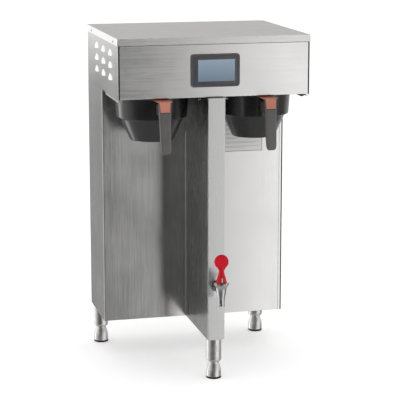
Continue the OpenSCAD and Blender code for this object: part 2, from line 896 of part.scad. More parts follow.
// Tapered plate let into the front of the grip, grown on every side by the given amount.
module insert_plate(grow) {
    low_y = grip_y(insert_z) - grip_t / 2;
    high_y = grip_y(insert_top) - grip_t / 2;
    hull() {
        slab([-insert_w / 2 - grow, low_y - insert_proud - grow, insert_z - grow],
            [insert_w / 2 + grow, low_y + insert_deep + grow, insert_z + 1]);
        slab([-insert_top_w / 2 - grow, high_y - insert_proud - grow, insert_top - 1],
            [insert_top_w / 2 + grow, high_y + insert_deep + grow, insert_top + grow]);
    }
}

module left_basket_handle() {
    basket_handle(-1);
}

module right_basket_handle() {
    basket_handle(1);
}

// Coloured clip on top of the handle, with a brim that spreads along the basket's rim.
module handle_insert(side) {
    color(copper) machine() translate([side * basket_x, 0, 0]) {
        insert_plate(0);
        difference() {
            slab([-brim_x, grip_top_y - 5, brim_low_z], [brim_x, basket_y - 60, insert_top]);
            translate([0, basket_y, rim_z - 6]) cylinder(h = 10, r = band_r + 2.6);
        }
    }
}

module left_handle_insert() {
    handle_insert(-1);
}

module right_handle_insert() {
    handle_insert(1);
}

// Wire grid that holds the paper filter off the basket's floor.
module filter_grid(side) {
    ring_r = 50;
    wire = 1.4;
    grid_z = bottom_z + basket_wall + 1.6;
    color(chrome) machine() translate([side * basket_x, basket_y, grid_z]) {
        rotate_extrude() translate([ring_r, 0]) circle(wire);
        for (i = [-2 : 2]) {
            reach = sqrt(ring_r * ring_r - 324 * i * i);
            translate([-reach, 18 * i, 1.2]) rotate([0, 90, 0]) cylinder(h = 2 * reach, r = wire - 0.3);
        }
    }
}

module left_filter_grid() {
    filter_grid(-1);
}

module right_filter_grid() {
    filter_grid(1);
}

top_cover();
hood_front_panel();
hood_left_panel();
hood_right_panel();
hood_floor();
basket_rails();
trunk_left_panel();
trunk_right_panel();
trunk_front_left_panel();
trunk_front_right_panel();
column_shell();
rear_panel();
trunk_base_plate();
column_base_plate();
panel_screws();
leg_tubes();
display_bezel();
touchscreen_glass();
lcd_panel();
display_module();
control_board();
water_tank();
tank_gasket();
tank_lid();
heating_elements();
tank_probes();
dump_valves();
spray_hoses();
sprayheads();
inlet_valve();
inlet_fitting();
water_tubes();
heater_relay();
relay_heat_sink();
terminal_block();
switch_housing();
cable_gland();
faucet_shank();
faucet_nut();
faucet_body();
faucet_bonnet();
faucet_spring();
faucet_stem();
faucet_seat_cup();
faucet_handle();
faucet_pin();
switch_rocker();
left_basket();
left_basket_handle();
left_handle_insert();
left_filter_grid();
right_basket();
right_basket_handle();
right_handle_insert();
right_filter_grid();
front_foot();
rear_left_foot();
rear_right_foot();
left_dump_plunger();
right_dump_plunger();
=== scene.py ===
"""Twin coffee brewer: detailed surfaces, materials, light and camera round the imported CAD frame."""
import json
import math

import bmesh
import bpy
from mathutils import Matrix, Vector


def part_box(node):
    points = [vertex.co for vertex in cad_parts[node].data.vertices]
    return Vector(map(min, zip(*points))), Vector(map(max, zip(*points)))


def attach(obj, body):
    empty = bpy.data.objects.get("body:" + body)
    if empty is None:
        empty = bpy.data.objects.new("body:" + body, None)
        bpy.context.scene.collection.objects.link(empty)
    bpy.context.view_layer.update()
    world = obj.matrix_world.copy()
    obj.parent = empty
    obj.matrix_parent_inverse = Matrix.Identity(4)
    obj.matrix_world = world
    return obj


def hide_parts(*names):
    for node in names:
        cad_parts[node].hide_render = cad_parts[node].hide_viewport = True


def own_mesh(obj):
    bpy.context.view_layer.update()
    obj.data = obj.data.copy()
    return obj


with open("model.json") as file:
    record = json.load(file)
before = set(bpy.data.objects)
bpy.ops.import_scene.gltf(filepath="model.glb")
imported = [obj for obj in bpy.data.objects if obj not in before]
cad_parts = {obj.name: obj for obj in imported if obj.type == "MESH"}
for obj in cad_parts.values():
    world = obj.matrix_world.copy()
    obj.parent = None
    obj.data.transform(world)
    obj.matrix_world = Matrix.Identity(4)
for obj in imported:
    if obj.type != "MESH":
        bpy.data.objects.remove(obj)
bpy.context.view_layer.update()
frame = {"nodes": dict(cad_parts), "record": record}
NODES = frame["nodes"]

MM = 0.001
BODY_OF = {n: b for b, names in frame["record"]["behaviour"]["bodies"].items() for n in names}
SLOT_OF = {s["node"]: s["material_slot"] for s in frame["record"]["subparts"]}
LEFT, RIGHT = -1, 1


# ---------------------------------------------------------------- materials

class Nodes:
    """Short hand for building one material's node tree."""

    def __init__(self, name):
        self.mat = bpy.data.materials.new(name)
        self.mat.use_nodes = True
        self.tree = self.mat.node_tree
        self.bsdf = self.tree.nodes["Principled BSDF"]

    def add(self, kind, **values):
        node = self.tree.nodes.new(kind)
        for key, value in values.items():
            if hasattr(node, key):
                setattr(node, key, value)
            else:
                node.inputs[key].default_value = value
        return node

    def link(self, source, target):
        self.tree.links.new(source, target)

    def coords(self, scale=(1, 1, 1), turn=(0, 0, 0)):
        place = self.add("ShaderNodeTexCoord")
        mapping = self.add("ShaderNodeMapping")
        mapping.inputs["Scale"].default_value = scale
        mapping.inputs["Rotation"].default_value = turn
        self.link(place.outputs["Object"], mapping.inputs["Vector"])
        return mapping.outputs["Vector"]

    def noise(self, vector, scale, detail=3.0, rough=0.5):
        node = self.add("ShaderNodeTexNoise")
        node.inputs["Scale"].default_value = scale
        node.inputs["Detail"].default_value = detail
        node.inputs["Roughness"].default_value = rough
        self.link(vector, node.inputs["Vector"])
        return node.outputs["Fac"]

    def spread(self, value, low, high, start=0.25, end=0.75):
        node = self.add("ShaderNodeMapRange")
        node.inputs["From Min"].default_value = start
        node.inputs["From Max"].default_value = end
        node.inputs["To Min"].default_value = low
        node.inputs["To Max"].default_value = high
        self.link(value, node.inputs["Value"])
        return node.outputs["Result"]

    def math(self, kind, a, b):
        node = self.add("ShaderNodeMath", operation=kind)
        for socket, value in zip(node.inputs, (a, b)):
            if isinstance(value, (int, float)):
                socket.default_value = value
            else:
                self.link(value, socket)
        return node.outputs["Value"]

    def shades(self, value, dark, light):
        """Colour that runs from dark to light with a 0 to 1 value."""
        node = self.add("ShaderNodeMix", data_type="RGBA")
        self.link(value, node.inputs["Factor"])
        node.inputs["A"].default_value = (*dark, 1)
        node.inputs["B"].default_value = (*light, 1)
        return node.outputs["Result"]

    def bump(self, height, strength, distance):
        node = self.add("ShaderNodeBump")
        node.inputs["Strength"].default_value = strength
        node.inputs["Distance"].default_value = distance
        self.link(height, node.inputs["Height"])
        self.link(node.outputs["Normal"], self.bsdf.inputs["Normal"])

    def edge_mask(self, radius, gain):
        """1 on outer edges and 0 on flats, from how far a rounded normal turns; these edges are made paler,
        partly as rubbed wear and partly as a painted highlight.
        """
        bevel = self.add("ShaderNodeBevel", samples=4)
        bevel.inputs["Radius"].default_value = radius
        plain = self.add("ShaderNodeNewGeometry")
        dot = self.add("ShaderNodeVectorMath", operation="DOT_PRODUCT")
        self.link(bevel.outputs["Normal"], dot.inputs[0])
        self.link(plain.outputs["Normal"], dot.inputs[1])
        return self.spread(dot.outputs["Value"], gain, 0.0, 0.75, 1.0)

    def set(self, **values):
        for key, value in values.items():
            self.bsdf.inputs[key.replace("_", " ")].default_value = value


def scaled(colour, factor):
    return tuple(min(1.0, c * factor) for c in colour)


def brushed(name, colour, rough, grain, lines=2200, contrast=0.025):
    """Brushed stainless: long fine lines along one axis and soft smudges."""
    n = Nodes(name)
    stretch = [lines, lines, lines]
    stretch["XYZ".index(grain)] = lines / 160
    fine = n.noise(n.coords(stretch), 1.0, 2.0, 0.6)
    coarse = n.noise(n.coords([s / 5 for s in stretch]), 1.0, 3.0, 0.55)
    cloud = n.noise(n.coords(), 7.0, 4.0, 0.6)
    lines_value = n.math("ADD", n.math("MULTIPLY", fine, 0.6), n.math("MULTIPLY", coarse, 0.4))
    tone = n.math("ADD", n.math("MULTIPLY", lines_value, 0.8), n.math("MULTIPLY", cloud, 0.2))
    shade = n.spread(tone, 0, 1, 0.3, 0.7)
    n.link(n.shades(shade, scaled(colour, 1 - contrast), scaled(colour, 1 + contrast)),
           n.bsdf.inputs["Base Color"])
    rough_value = n.math("ADD", n.spread(lines_value, rough - 0.05, rough + 0.05, 0.3, 0.7),
                         n.spread(cloud, -0.02, 0.03, 0.3, 0.7))
    n.link(rough_value, n.bsdf.inputs["Roughness"])
    n.bump(lines_value, 0.06, 0.00005)
    n.set(Metallic=1.0)
    return n.mat


def polished(name, colour, rough):
    """Polished or chromed metal with faint turning lines and finger marks."""
    n = Nodes(name)
    cloud = n.noise(n.coords(), 38.0, 4.0, 0.6)
    rings = n.noise(n.coords((60, 60, 2600)), 1.0, 2.0, 0.5)
    n.link(n.shades(n.spread(cloud, 0, 1), scaled(colour, 0.94), scaled(colour, 1.04)),
           n.bsdf.inputs["Base Color"])
    mixed = n.math("ADD", n.math("MULTIPLY", cloud, 0.7), n.math("MULTIPLY", rings, 0.3))
    n.link(n.spread(mixed, rough * 0.6, rough * 1.6, 0.3, 0.7), n.bsdf.inputs["Roughness"])
    n.bump(rings, 0.05, 0.0001)
    n.set(Metallic=1.0)
    return n.mat


def plastic(name, colour, rough, grain_scale=1500.0, grain_depth=0.00006, coat=0.0, edge_rub_and_highlight=0.35,
            shine=0.5):
    """Moulded plastic: fine grain, patches of gloss, and paler edges that are partly rubbed wear and partly
    a painted highlight.
    """
    n = Nodes(name)
    grain = n.noise(n.coords(), grain_scale, 2.0, 0.5)
    cloud = n.noise(n.coords(), 24.0, 4.0, 0.6)
    patches = n.shades(n.spread(cloud, 0, 1, 0.3, 0.7), scaled(colour, 0.86), scaled(colour, 1.12))
    rub_and_highlight_mix = n.add("ShaderNodeMix", data_type="RGBA")
    n.link(n.edge_mask(0.0012, edge_rub_and_highlight), rub_and_highlight_mix.inputs["Factor"])
    n.link(patches, rub_and_highlight_mix.inputs["A"])
    # Paler edge colour: partly rubbed wear, partly a painted highlight.
    rub_and_highlight_mix.inputs["B"].default_value = (*[min(1.0, c * 1.7 + 0.03) for c in colour], 1)
    n.link(rub_and_highlight_mix.outputs["Result"], n.bsdf.inputs["Base Color"])
    n.link(n.spread(cloud, rough - 0.04, rough + 0.07, 0.3, 0.7), n.bsdf.inputs["Roughness"])
    n.bump(grain, 0.35, grain_depth)
    n.set(Coat_Weight=coat, Coat_Roughness=0.06, Specular_IOR_Level=shine)
    return n.mat


def rubber(name, colour):
    n = Nodes(name)
    speck = n.noise(n.coords(), 900.0, 3.0, 0.6)
    n.link(n.shades(n.spread(speck, 0, 1), scaled(colour, 0.85), scaled(colour, 1.1)),
           n.bsdf.inputs["Base Color"])
    n.link(n.spread(speck, 0.5, 0.75), n.bsdf.inputs["Roughness"])
    n.bump(speck, 0.3, 0.0001)
    n.set(Specular_IOR_Level=0.25)
    return n.mat


def screen_glass(name, colour):
    """Black bordered glass with a faint film of finger marks."""
    n = Nodes(name)
    smear = n.noise(n.coords((60, 1, 25)), 1.0, 4.0, 0.65)
    n.link(n.shades(n.spread(smear, 0, 1), scaled(colour, 0.8), scaled(colour, 1.3)),
           n.bsdf.inputs["Base Color"])
    n.link(n.spread(smear, 0.12, 0.26), n.bsdf.inputs["Roughness"])
    n.set(Coat_Weight=0.4)
    return n.mat


def screen_lcd(name, low, high):
    """Unlit display: a blue-grey field, a little lighter towards its top, with a fine cell pattern."""
    n = Nodes(name)
    place = n.add("ShaderNodeTexCoord")
    split = n.add("ShaderNodeSeparateXYZ")
    n.link(place.outputs["Generated"], split.inputs["Vector"])
    smear = n.noise(n.coords((24, 1, 14)), 1.0, 2.0, 0.45)
    cells = n.add("ShaderNodeTexChecker")
    cells.inputs["Scale"].default_value = 3200.0
    n.link(n.coords(), cells.inputs["Vector"])
    field = n.math("ADD", n.math("MULTIPLY", split.outputs["Z"], 0.85), n.math("MULTIPLY", smear, 0.12))
    field = n.math("ADD", field, n.math("MULTIPLY", cells.outputs["Fac"], 0.02))
    n.link(n.shades(field, low, high), n.bsdf.inputs["Base Color"])
    n.link(n.spread(smear, 0.22, 0.34), n.bsdf.inputs["Roughness"])
    n.set(Coat_Weight=0.25)
    return n.mat


def circuit(name, colour):
    n = Nodes(name)
    traces = n.add("ShaderNodeTexBrick")
    traces.inputs["Scale"].default_value = 300.0
    n.link(n.coords(), traces.inputs["Vector"])
    traces.inputs["Color1"].default_value = (*colour, 1)
    traces.inputs["Color2"].default_value = (*scaled(colour, 0.7), 1)
    traces.inputs["Mortar"].default_value = (*scaled(colour, 1.8), 1)
    n.link(traces.outputs["Color"], n.bsdf.inputs["Base Color"])
    n.link(n.spread(n.noise(n.coords(), 300.0), 0.25, 0.5), n.bsdf.inputs["Roughness"])
    return n.mat


def label_paper(name, colour):
    n = Nodes(name)
    fibre = n.noise(n.coords(), 1100.0, 3.0, 0.6)
    n.link(n.shades(n.spread(fibre, 0, 1), scaled(colour, 0.95), scaled(colour, 1.03)),
           n.bsdf.inputs["Base Color"])
    n.link(n.spread(fibre, 0.35, 0.5), n.bsdf.inputs["Roughness"])
    n.bump(fibre, 0.1, 0.00005)
    return n.mat


STEEL = (0.78, 0.775, 0.765)
MATERIALS = {
    "cover_steel": brushed("cover_steel", (0.78, 0.76, 0.74), 0.25, "X"),
    "panel_steel": brushed("panel_steel", STEEL, 0.20, "Z"),
    "hood_steel": brushed("hood_steel", STEEL, 0.20, "X"),
    "column_steel": brushed("column_steel", (0.70, 0.70, 0.695), 0.24, "Z"),
    "side_steel": brushed("side_steel", STEEL, 0.20, "Y"),
    "inner_steel": brushed("inner_steel", (0.58, 0.58, 0.57), 0.38, "X", contrast=0.08),
    "bright_steel": polished("bright_steel", (0.64, 0.63, 0.61), 0.33),
    "screw_steel": polished("screw_steel", (0.10, 0.10, 0.10), 0.30),
    "chrome": polished("chrome", (0.48, 0.48, 0.485), 0.13),
    "bezel_plastic": plastic("bezel_plastic", (0.045, 0.044, 0.045), 0.38),
    "bezel_rim": plastic("bezel_rim", (0.16, 0.145, 0.135), 0.42),
    "screen_glass": screen_glass("screen_glass", (0.035, 0.036, 0.04)),
    "screen_lcd": screen_lcd("screen_lcd", (0.12, 0.165, 0.215), (0.24, 0.31, 0.385)),
    "basket_plastic": plastic("basket_plastic", (0.009, 0.009, 0.0095), 0.26, 700.0, 0.00004, 0.3, 0.15),
    # The grip's strongly paler edges are mostly a painted highlight along them.
    "grip_plastic": plastic("grip_plastic", (0.080, 0.078, 0.075), 0.36, edge_rub_and_highlight=0.8),
    "copper_plastic": plastic("copper_plastic", (0.42, 0.155, 0.10), 0.38, coat=0.1),
    "red_plastic": plastic("red_plastic", (0.47, 0.001, 0.010), 0.18, 900.0, 0.00003, 0.0, 0.1, 0.2),
    "black_housing": plastic("black_housing", (0.03, 0.03, 0.031), 0.42),
    "silicone": rubber("silicone", (0.72, 0.70, 0.64)),
    "black_rubber": rubber("black_rubber", (0.012, 0.012, 0.012)),
    "valve_plastic": plastic("valve_plastic", (0.70, 0.68, 0.63), 0.4, edge_rub_and_highlight=0.1),
    "circuit_board": circuit("circuit_board", (0.03, 0.15, 0.06)),
    "heater_sheath": polished("heater_sheath", (0.40, 0.38, 0.36), 0.40),
    "brass": polished("brass", (0.72, 0.52, 0.22), 0.22),
    "heat_sink": brushed("heat_sink", (0.60, 0.60, 0.61), 0.35, "X"),
    "label": label_paper("label", (0.72, 0.72, 0.71)),
    "label_ink": label_paper("label_ink", (0.09, 0.09, 0.09)),
    "label_rule": label_paper("label_rule", (0.30, 0.30, 0.30)),
}


# ---------------------------------------------------------------- mesh helpers

def dress(obj, material, body, slot, *replaced):
    """Gives a piece its material, body and the CAD nodes that it stands for; its slot argument is not used.
    """
    if not obj.data.polygons:
        raise ValueError(obj.name + " has no faces")
    obj.data.materials.clear()
    obj.data.materials.append(MATERIALS[material])
    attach(obj, body)
    if replaced:
        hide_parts(*replaced)
    return obj


def new_object(name, bm, smooth_angle=35):
    bmesh.ops.recalc_face_normals(bm, faces=bm.faces)
    mesh = bpy.data.meshes.new(name)
    bm.to_mesh(mesh)
    bm.free()
    mesh.shade_smooth()
    mesh.set_sharp_from_angle(angle=math.radians(smooth_angle))
    obj = bpy.data.objects.new(name, mesh)
    bpy.context.scene.collection.objects.link(obj)
    return obj


def node_mesh(node):
    """A clean copy of a CAD node's mesh: welded, with flat faces merged again."""
    bm = bmesh.new()
    bm.from_mesh(NODES[node].data)
    bmesh.ops.remove_doubles(bm, verts=bm.verts, dist=2e-6)
    bmesh.ops.dissolve_limit(bm, angle_limit=math.radians(0.5), verts=bm.verts, edges=bm.edges)
    return bm


def apply_modifiers(obj):
    graph = bpy.context.evaluated_depsgraph_get()
    mesh = bpy.data.meshes.new_from_object(obj.evaluated_get(graph))
    obj.modifiers.clear()
    old = obj.data
    obj.data = mesh
    bpy.data.meshes.remove(old)


def add_bevel(obj, width, segments=2, angle=32):
    bevel = obj.modifiers.new("edges", "BEVEL")
    bevel.width = width
    bevel.segments = segments
    bevel.limit_method = "ANGLE"
    bevel.angle_limit = math.radians(angle)
    bevel.use_clamp_overlap = True
    even = obj.modifiers.new("flat_faces", "WEIGHTED_NORMAL")
    even.mode = "FACE_AREA"
    even.weight = 90
    even.keep_sharp = True
    return obj


def soften(node, width=0.35 * MM, folds=None, fold_radius=2 * MM, material=None, hem_z=None):
    """Stands for a sheet-metal node: folds get a bend radius, every other edge a deburred one.
    Below hem_z the outer face is sprung outward a little, as a rolled hem is."""
    bm = node_mesh(node)
    if hem_z is not None:
        roll_hem(bm, hem_z)
    if folds:
        edges = [e for e in bm.edges if folds(*(v.co for v in e.verts))]
        bmesh.ops.bevel(bm, geom=edges, offset=fold_radius, segments=5, profile=0.5, affect="EDGES",
                        clamp_overlap=True)
    obj = new_object(node + "_detail", bm)
    add_bevel(obj, width)
    apply_modifiers(obj)
    return dress(obj, material or SLOT_OF[node], BODY_OF[node], SLOT_OF[node], node)


def rounded(points, radii, steps=6):
    """Outline with each corner turned into an arc of the given radius (0 keeps it sharp)."""
    out = []
    for i, point in enumerate(points):
        radius = radii[i]
        if not radius or i in (0, len(points) - 1):
            out.append(point)
            continue
        here = Vector(point)
        before = (Vector(points[i - 1]) - here).normalized()
        after = (Vector(points[i + 1]) - here).normalized()
        half = before.angle(after) / 2
        if half > math.radians(89.5):
            out.append(point)
            continue
        reach = radius / math.tan(half)
        hub = here + (before + after).normalized() * (radius / math.sin(half))
        first, last = here + before * reach - hub, here + after * reach - hub
        sweep = first.angle_signed(last)
        for k in range(steps + 1):
            turn = Matrix.Rotation(-sweep * k / steps, 2)
            out.append(tuple(hub + turn @ first))
    return out


def lathe_mesh(bm, outline, at, steps=96, axis="Z"):
    """Revolves an outline of (radius, height) round an upright axis, or one along Y, through at."""
    rings = []
    for radius, height in outline:
        ring = []
        count = steps if radius > 1e-7 else 1
        for k in range(count):
            angle = 2 * math.pi * k / steps
            x, y = radius * math.cos(angle), radius * math.sin(angle)
            spot = (x, y, height) if axis == "Z" else (x, height, y)
            ring.append(bm.verts.new(Vector(spot) + Vector(at)))
        rings.append(ring)
    for low, high in zip(rings, rings[1:]):
        for k in range(steps):
            corners = [low[k % len(low)], low[(k + 1) % len(low)],
                       high[(k + 1) % len(high)], high[k % len(high)]]
            unique = list(dict.fromkeys(corners))
            if len(unique) > 2:
                bm.faces.new(unique)


def lathe(name, outline, at, steps=96, axis="Z", smooth_angle=35):
    bm = bmesh.new()
    lathe_mesh(bm, outline, at, steps, axis)
    return new_object(name, bm, smooth_angle)


def loft(bm, rings):
    """Skins closed rings of points one after another and caps both ends."""
    made = [[bm.verts.new(p) for p in ring] for ring in rings]
    count = len(made[0])
    for low, high in zip(made, made[1:]):
        for k in range(count):
            bm.faces.new((low[k], low[(k + 1) % count], high[(k + 1) % count], high[k]))
    bm.faces.new(made[0])
    bm.faces.new(made[-1][::-1])


def moulded(node, voxel, smooth=6):
    """Stands for a moulded node: its solid is remeshed and relaxed so that every edge is rounded."""
    obj = new_object(node + "_detail", node_mesh(node))
    remesh = obj.modifiers.new("remesh", "REMESH")
    remesh.mode = "VOXEL"
    remesh.voxel_size = voxel
    remesh.use_smooth_shade = True
    relax = obj.modifiers.new("relax", "CORRECTIVE_SMOOTH")
    relax.iterations = smooth
    relax.use_only_smooth = True
    apply_modifiers(obj)
    return dress(obj, SLOT_OF[node], BODY_OF[node], SLOT_OF[node], node)


def islands(node):
    """Low and high corners of each separate lump of a node's mesh."""
    bm = node_mesh(node)
    left = set(bm.verts)
    boxes = []
    while left:
        stack = [left.pop()]
        found = list(stack)
        while stack:
            for edge in stack.pop().link_edges:
                for vert in edge.verts:
                    if vert in left:
                        left.remove(vert)
                        stack.append(vert)
                        found.append(vert)
        spots = [v.co for v in found]
        boxes.append((Vector([min(s[i] for s in spots) for i in range(3)]),
                      Vector([max(s[i] for s in spots) for i in range(3)])))
    bm.free()
    return boxes


def join(name, objects):
    """One object from several, kept as one piece."""
    bm = bmesh.new()
    for obj in objects:
        bm.from_mesh(obj.data)
        old = obj.data
        bpy.data.objects.remove(obj)
        bpy.data.meshes.remove(old)
    return new_object(name, bm)


# ---------------------------------------------------------------- sheet metal

COVER_FOLD = 2.2 * MM
PANEL_FOLD = 1.3 * MM
PANEL_EDGE = 0.35 * MM
NEAR = 0.15 * MM
SIDE_X = 252.5 * MM
FLANGE_FLARE = 1.4 * MM
# Sizes of the black strips that stand in for the shade in the panel gaps (painted shade).
SHADE_STRIP_DEPTH = 0.4 * MM
SHADE_STRIP_LAP = 1.2 * MM
SHADE_STRIP_INSET = 0.3 * MM
COVER_SHADE_STRIP = 1.3 * MM
TRUNK_SHADE_STRIP = 4 * MM
TRUNK_SHADE_STRIP_X = 250.5 * MM
TRUNK_SHADE_STRIP_TOP = 6 * MM
TRUNK_EDGE = 3.4 * MM
BEAD_R = 1.1 * MM
BEAD_GAP = 2 * MM
HEM_HEIGHT = 6.5 * MM
HEM_FLARE = 0.55 * MM


def cover_fold(a, b):
    """Edges round the top face and down the four corners of the cover."""
    low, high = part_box("top_cover")
    top = min(a.z, b.z) > high.z - NEAR
    side = min(abs(a.x), abs(b.x)) > high.x - NEAR
    end = max(abs(a.y - low.y), abs(b.y - low.y)) < NEAR or max(abs(a.y - high.y), abs(b.y - high.y)) < NEAR
    return (a - b).length > 5 * MM and (top and (side or end) or side and end)


def front_corner(node, half_width):
    """Test for the upright edges at the front corners of a node, at plus or minus half_width."""
    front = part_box(node)[0].y

    def test(a, b):
        at_side = min(abs(a.x), abs(b.x)) > half_width - NEAR
        at_front = max(a.y, b.y) < front + NEAR
        return at_side and at_front and abs(a.z - b.z) > 5 * MM

    return test


def front_frame(a, b):
    """Outer edges of the hood's front: its two sides and its bottom bend."""
    low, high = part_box("hood_front_panel")
    at_front = max(a.y, b.y) < low.y + NEAR
    at_side = min(abs(a.x), abs(b.x)) > high.x - NEAR and (a - b).length > 5 * MM
    at_bottom = max(a.z, b.z) < low.z + NEAR and (a - b).length > 5 * MM
    return at_front and (at_side or at_bottom)


def roll_hem(bm, hem_z):
    """Cuts a mesh at hem_z and leans its lowest outer edges outward."""
    everything = bm.verts[:] + bm.edges[:] + bm.faces[:]
    bmesh.ops.bisect_plane(bm, geom=everything, plane_co=(0, 0, hem_z), plane_no=(0, 0, 1))
    floor_z = min(v.co.z for v in bm.verts)
    for vert in bm.verts:
        if vert.co.z < floor_z + NEAR and abs(vert.co.x) > SIDE_X - NEAR:
            vert.co.x += math.copysign(HEM_FLARE, vert.co.x)


def flare_flange(obj):
    """Springs the cover's side flanges outward a little towards their lower edge."""
    low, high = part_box("top_cover")
    for vert in obj.data.vertices:
        down = (high.z - vert.co.z) / (high.z - low.z)
        if abs(vert.co.x) > high.x - 3 * MM:
            vert.co.x += math.copysign(FLANGE_FLARE * down, vert.co.x)


def strip(name, low, high, body="chassis", material="black_rubber", slot="panel_steel"):
    """Thin black strip that stands in for the shade in a gap between panels: a painted shade line."""
    bm = bmesh.new()
    bmesh.ops.create_cube(bm, size=1)
    size = Matrix.Diagonal((*(high - low), 1))
    bmesh.ops.transform(bm, matrix=Matrix.Translation((low + high) / 2) @ size, verts=bm.verts)
    obj = new_object(name, bm)
    add_bevel(obj, min(high - low) * 0.3)
    apply_modifiers(obj)
    return dress(obj, material, body, slot)


def build_painted_shade_strips():
    """Painted shade in the gaps where the panels meet: black strips at the hood's corners, under the cover,
    and up the trunk.
    """
    front_low, front_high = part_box("hood_front_panel")
    side_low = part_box("hood_left_panel")[0]
    cover_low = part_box("top_cover")[0]
    trunk_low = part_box("trunk_front_left_panel")[0]
    gap_low, gap_high = front_high.x, SIDE_X
    for side, word in ((LEFT, "left"), (RIGHT, "right")):
        near, far = sorted((side * (gap_low - SHADE_STRIP_LAP), side * (gap_high - SHADE_STRIP_INSET)))
        strip(word + "_corner_shade_strip",
              Vector((near, front_low.y - SHADE_STRIP_DEPTH, front_low.z)),
              Vector((far, side_low.y, cover_low.z)))
        outer = TRUNK_SHADE_STRIP_X if side == LEFT else SIDE_X - NEAR
        width = TRUNK_SHADE_STRIP if side == LEFT else TRUNK_EDGE
        near, far = sorted((side * (outer - width), side * outer))
        face_y = trunk_low.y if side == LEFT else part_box("trunk_right_panel")[0].y
        strip(word + "_trunk_shade_strip",
              Vector((near, face_y - SHADE_STRIP_DEPTH, trunk_low.z + MM)),
              Vector((far, trunk_low.y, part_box("trunk_left_panel")[1].z - TRUNK_SHADE_STRIP_TOP)))
    strip("cover_shade_strip", Vector((-gap_low, front_low.y - SHADE_STRIP_DEPTH, cover_low.z - COVER_SHADE_STRIP)),
          Vector((gap_low, front_low.y, cover_low.z)))


def build_corner_beads():
    """Rounded bead down each inner corner, where the column shell meets the trunk's front."""
    column_low, column_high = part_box("column_shell")
    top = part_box("left_basket")[0].z - BEAD_GAP
    for word, x in (("left", column_low.x), ("right", column_high.x)):
        face_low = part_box(f"trunk_front_{word}_panel")[0]
        outline = [(0, face_low.z), (BEAD_R, face_low.z), (BEAD_R, top), (0, top)]
        bead = lathe(word + "_corner_bead", outline, (x, face_low.y, 0), 24)
        dress(bead, "panel_steel", "chassis", SLOT_OF["column_shell"])


def build_sheet_metal():
    cover = soften("top_cover", PANEL_EDGE, cover_fold, COVER_FOLD)
    flare_flange(cover)
    soften("hood_front_panel", PANEL_EDGE, front_frame, PANEL_FOLD, "hood_steel")
    for side in ("left", "right"):
        hood, trunk = f"hood_{side}_panel", f"trunk_{side}_panel"
        hem_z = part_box(hood)[0].z + HEM_HEIGHT
        soften(hood, PANEL_EDGE, front_corner(hood, SIDE_X), PANEL_FOLD, "side_steel", hem_z)
        soften(trunk, PANEL_EDGE, front_corner(trunk, SIDE_X), 1.6 * MM)
    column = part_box("column_shell")[1]
    soften("column_shell", PANEL_EDGE, front_corner("column_shell", column.x), PANEL_FOLD,
           "column_steel")
    for node in ("hood_floor", "basket_rails", "trunk_front_left_panel", "trunk_front_right_panel",
                 "rear_panel", "trunk_base_plate", "column_base_plate"):
        soften(node, PANEL_EDGE)
    build_painted_shade_strips()
    build_corner_beads()


# ---------------------------------------------------------------- screws

SCREW_STEPS = 28
RECESS_ARM = 0.42
RECESS_WIDTH = 0.12
RECESS_DEPTH = 0.55


def pan_head(name, low, high, outward):
    """Cross-recessed pan head that fills the given box, its dome facing outward."""
    middle = (low + high) / 2
    axis = max(range(3), key=lambda i: abs(outward[i]))
    radius = max((high - low)[i] for i in range(3) if i != axis) / 2
    height = (high - low)[axis]
    bm = bmesh.new()
    outline = [(0, 0), (radius, 0), (radius, height * 0.35), (radius * 0.93, height * 0.72),
               (radius * 0.7, height * 0.93), (radius * 0.4, height), (0, height)]
    lathe_mesh(bm, outline, (0, 0, 0), SCREW_STEPS)
    head = new_object(name, bm)
    cutter = bmesh.new()
    a, w = RECESS_ARM * radius, RECESS_WIDTH * radius
    cross = [(a, -w), (a, w), (w, w), (w, a), (-w, a), (-w, w), (-a, w), (-a, -w), (-w, -w),
             (-w, -a), (w, -a), (w, -w)]
    loft(cutter, [[(x, y, z) for x, y in cross]
                  for z in (height * (1 - RECESS_DEPTH), height * (1 + RECESS_DEPTH))])
    tool = new_object(name + "_recess", cutter)
    cut = head.modifiers.new("recess", "BOOLEAN")
    cut.object = tool
    cut.operation = "DIFFERENCE"
    cut.solver = "EXACT"
    apply_modifiers(head)
    old = tool.data
    bpy.data.objects.remove(tool)
    bpy.data.meshes.remove(old)
    base = middle.copy()
    base[axis] = low[axis] if outward[axis] > 0 else high[axis]
    turn = Vector((0, 0, 1)).rotation_difference(Vector(outward)).to_matrix().to_4x4()
    head.data.transform(Matrix.Translation(base) @ turn)
    return head


SCREW_HEAD = 1.6 * MM


def build_screws():
    """A screw head stands where the CAD has each one: in the cover's sides or in the back."""
    heads = []
    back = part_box("panel_screws")[1].y
    for i, (low, high) in enumerate(islands("panel_screws")):
        if high.y > back - MM:
            low.y, outward = high.y - SCREW_HEAD, (0, 1, 0)
        elif high.x > 0:
            low.x, outward = high.x - SCREW_HEAD, (1, 0, 0)
        else:
            high.x, outward = low.x + SCREW_HEAD, (-1, 0, 0)
        heads.append(pan_head(f"screw_{i}", low, high, outward))
    dress(join("panel_screws_detail", heads), "screw_steel", "chassis", SLOT_OF["panel_screws"],
          "panel_screws")


# ---------------------------------------------------------------- display

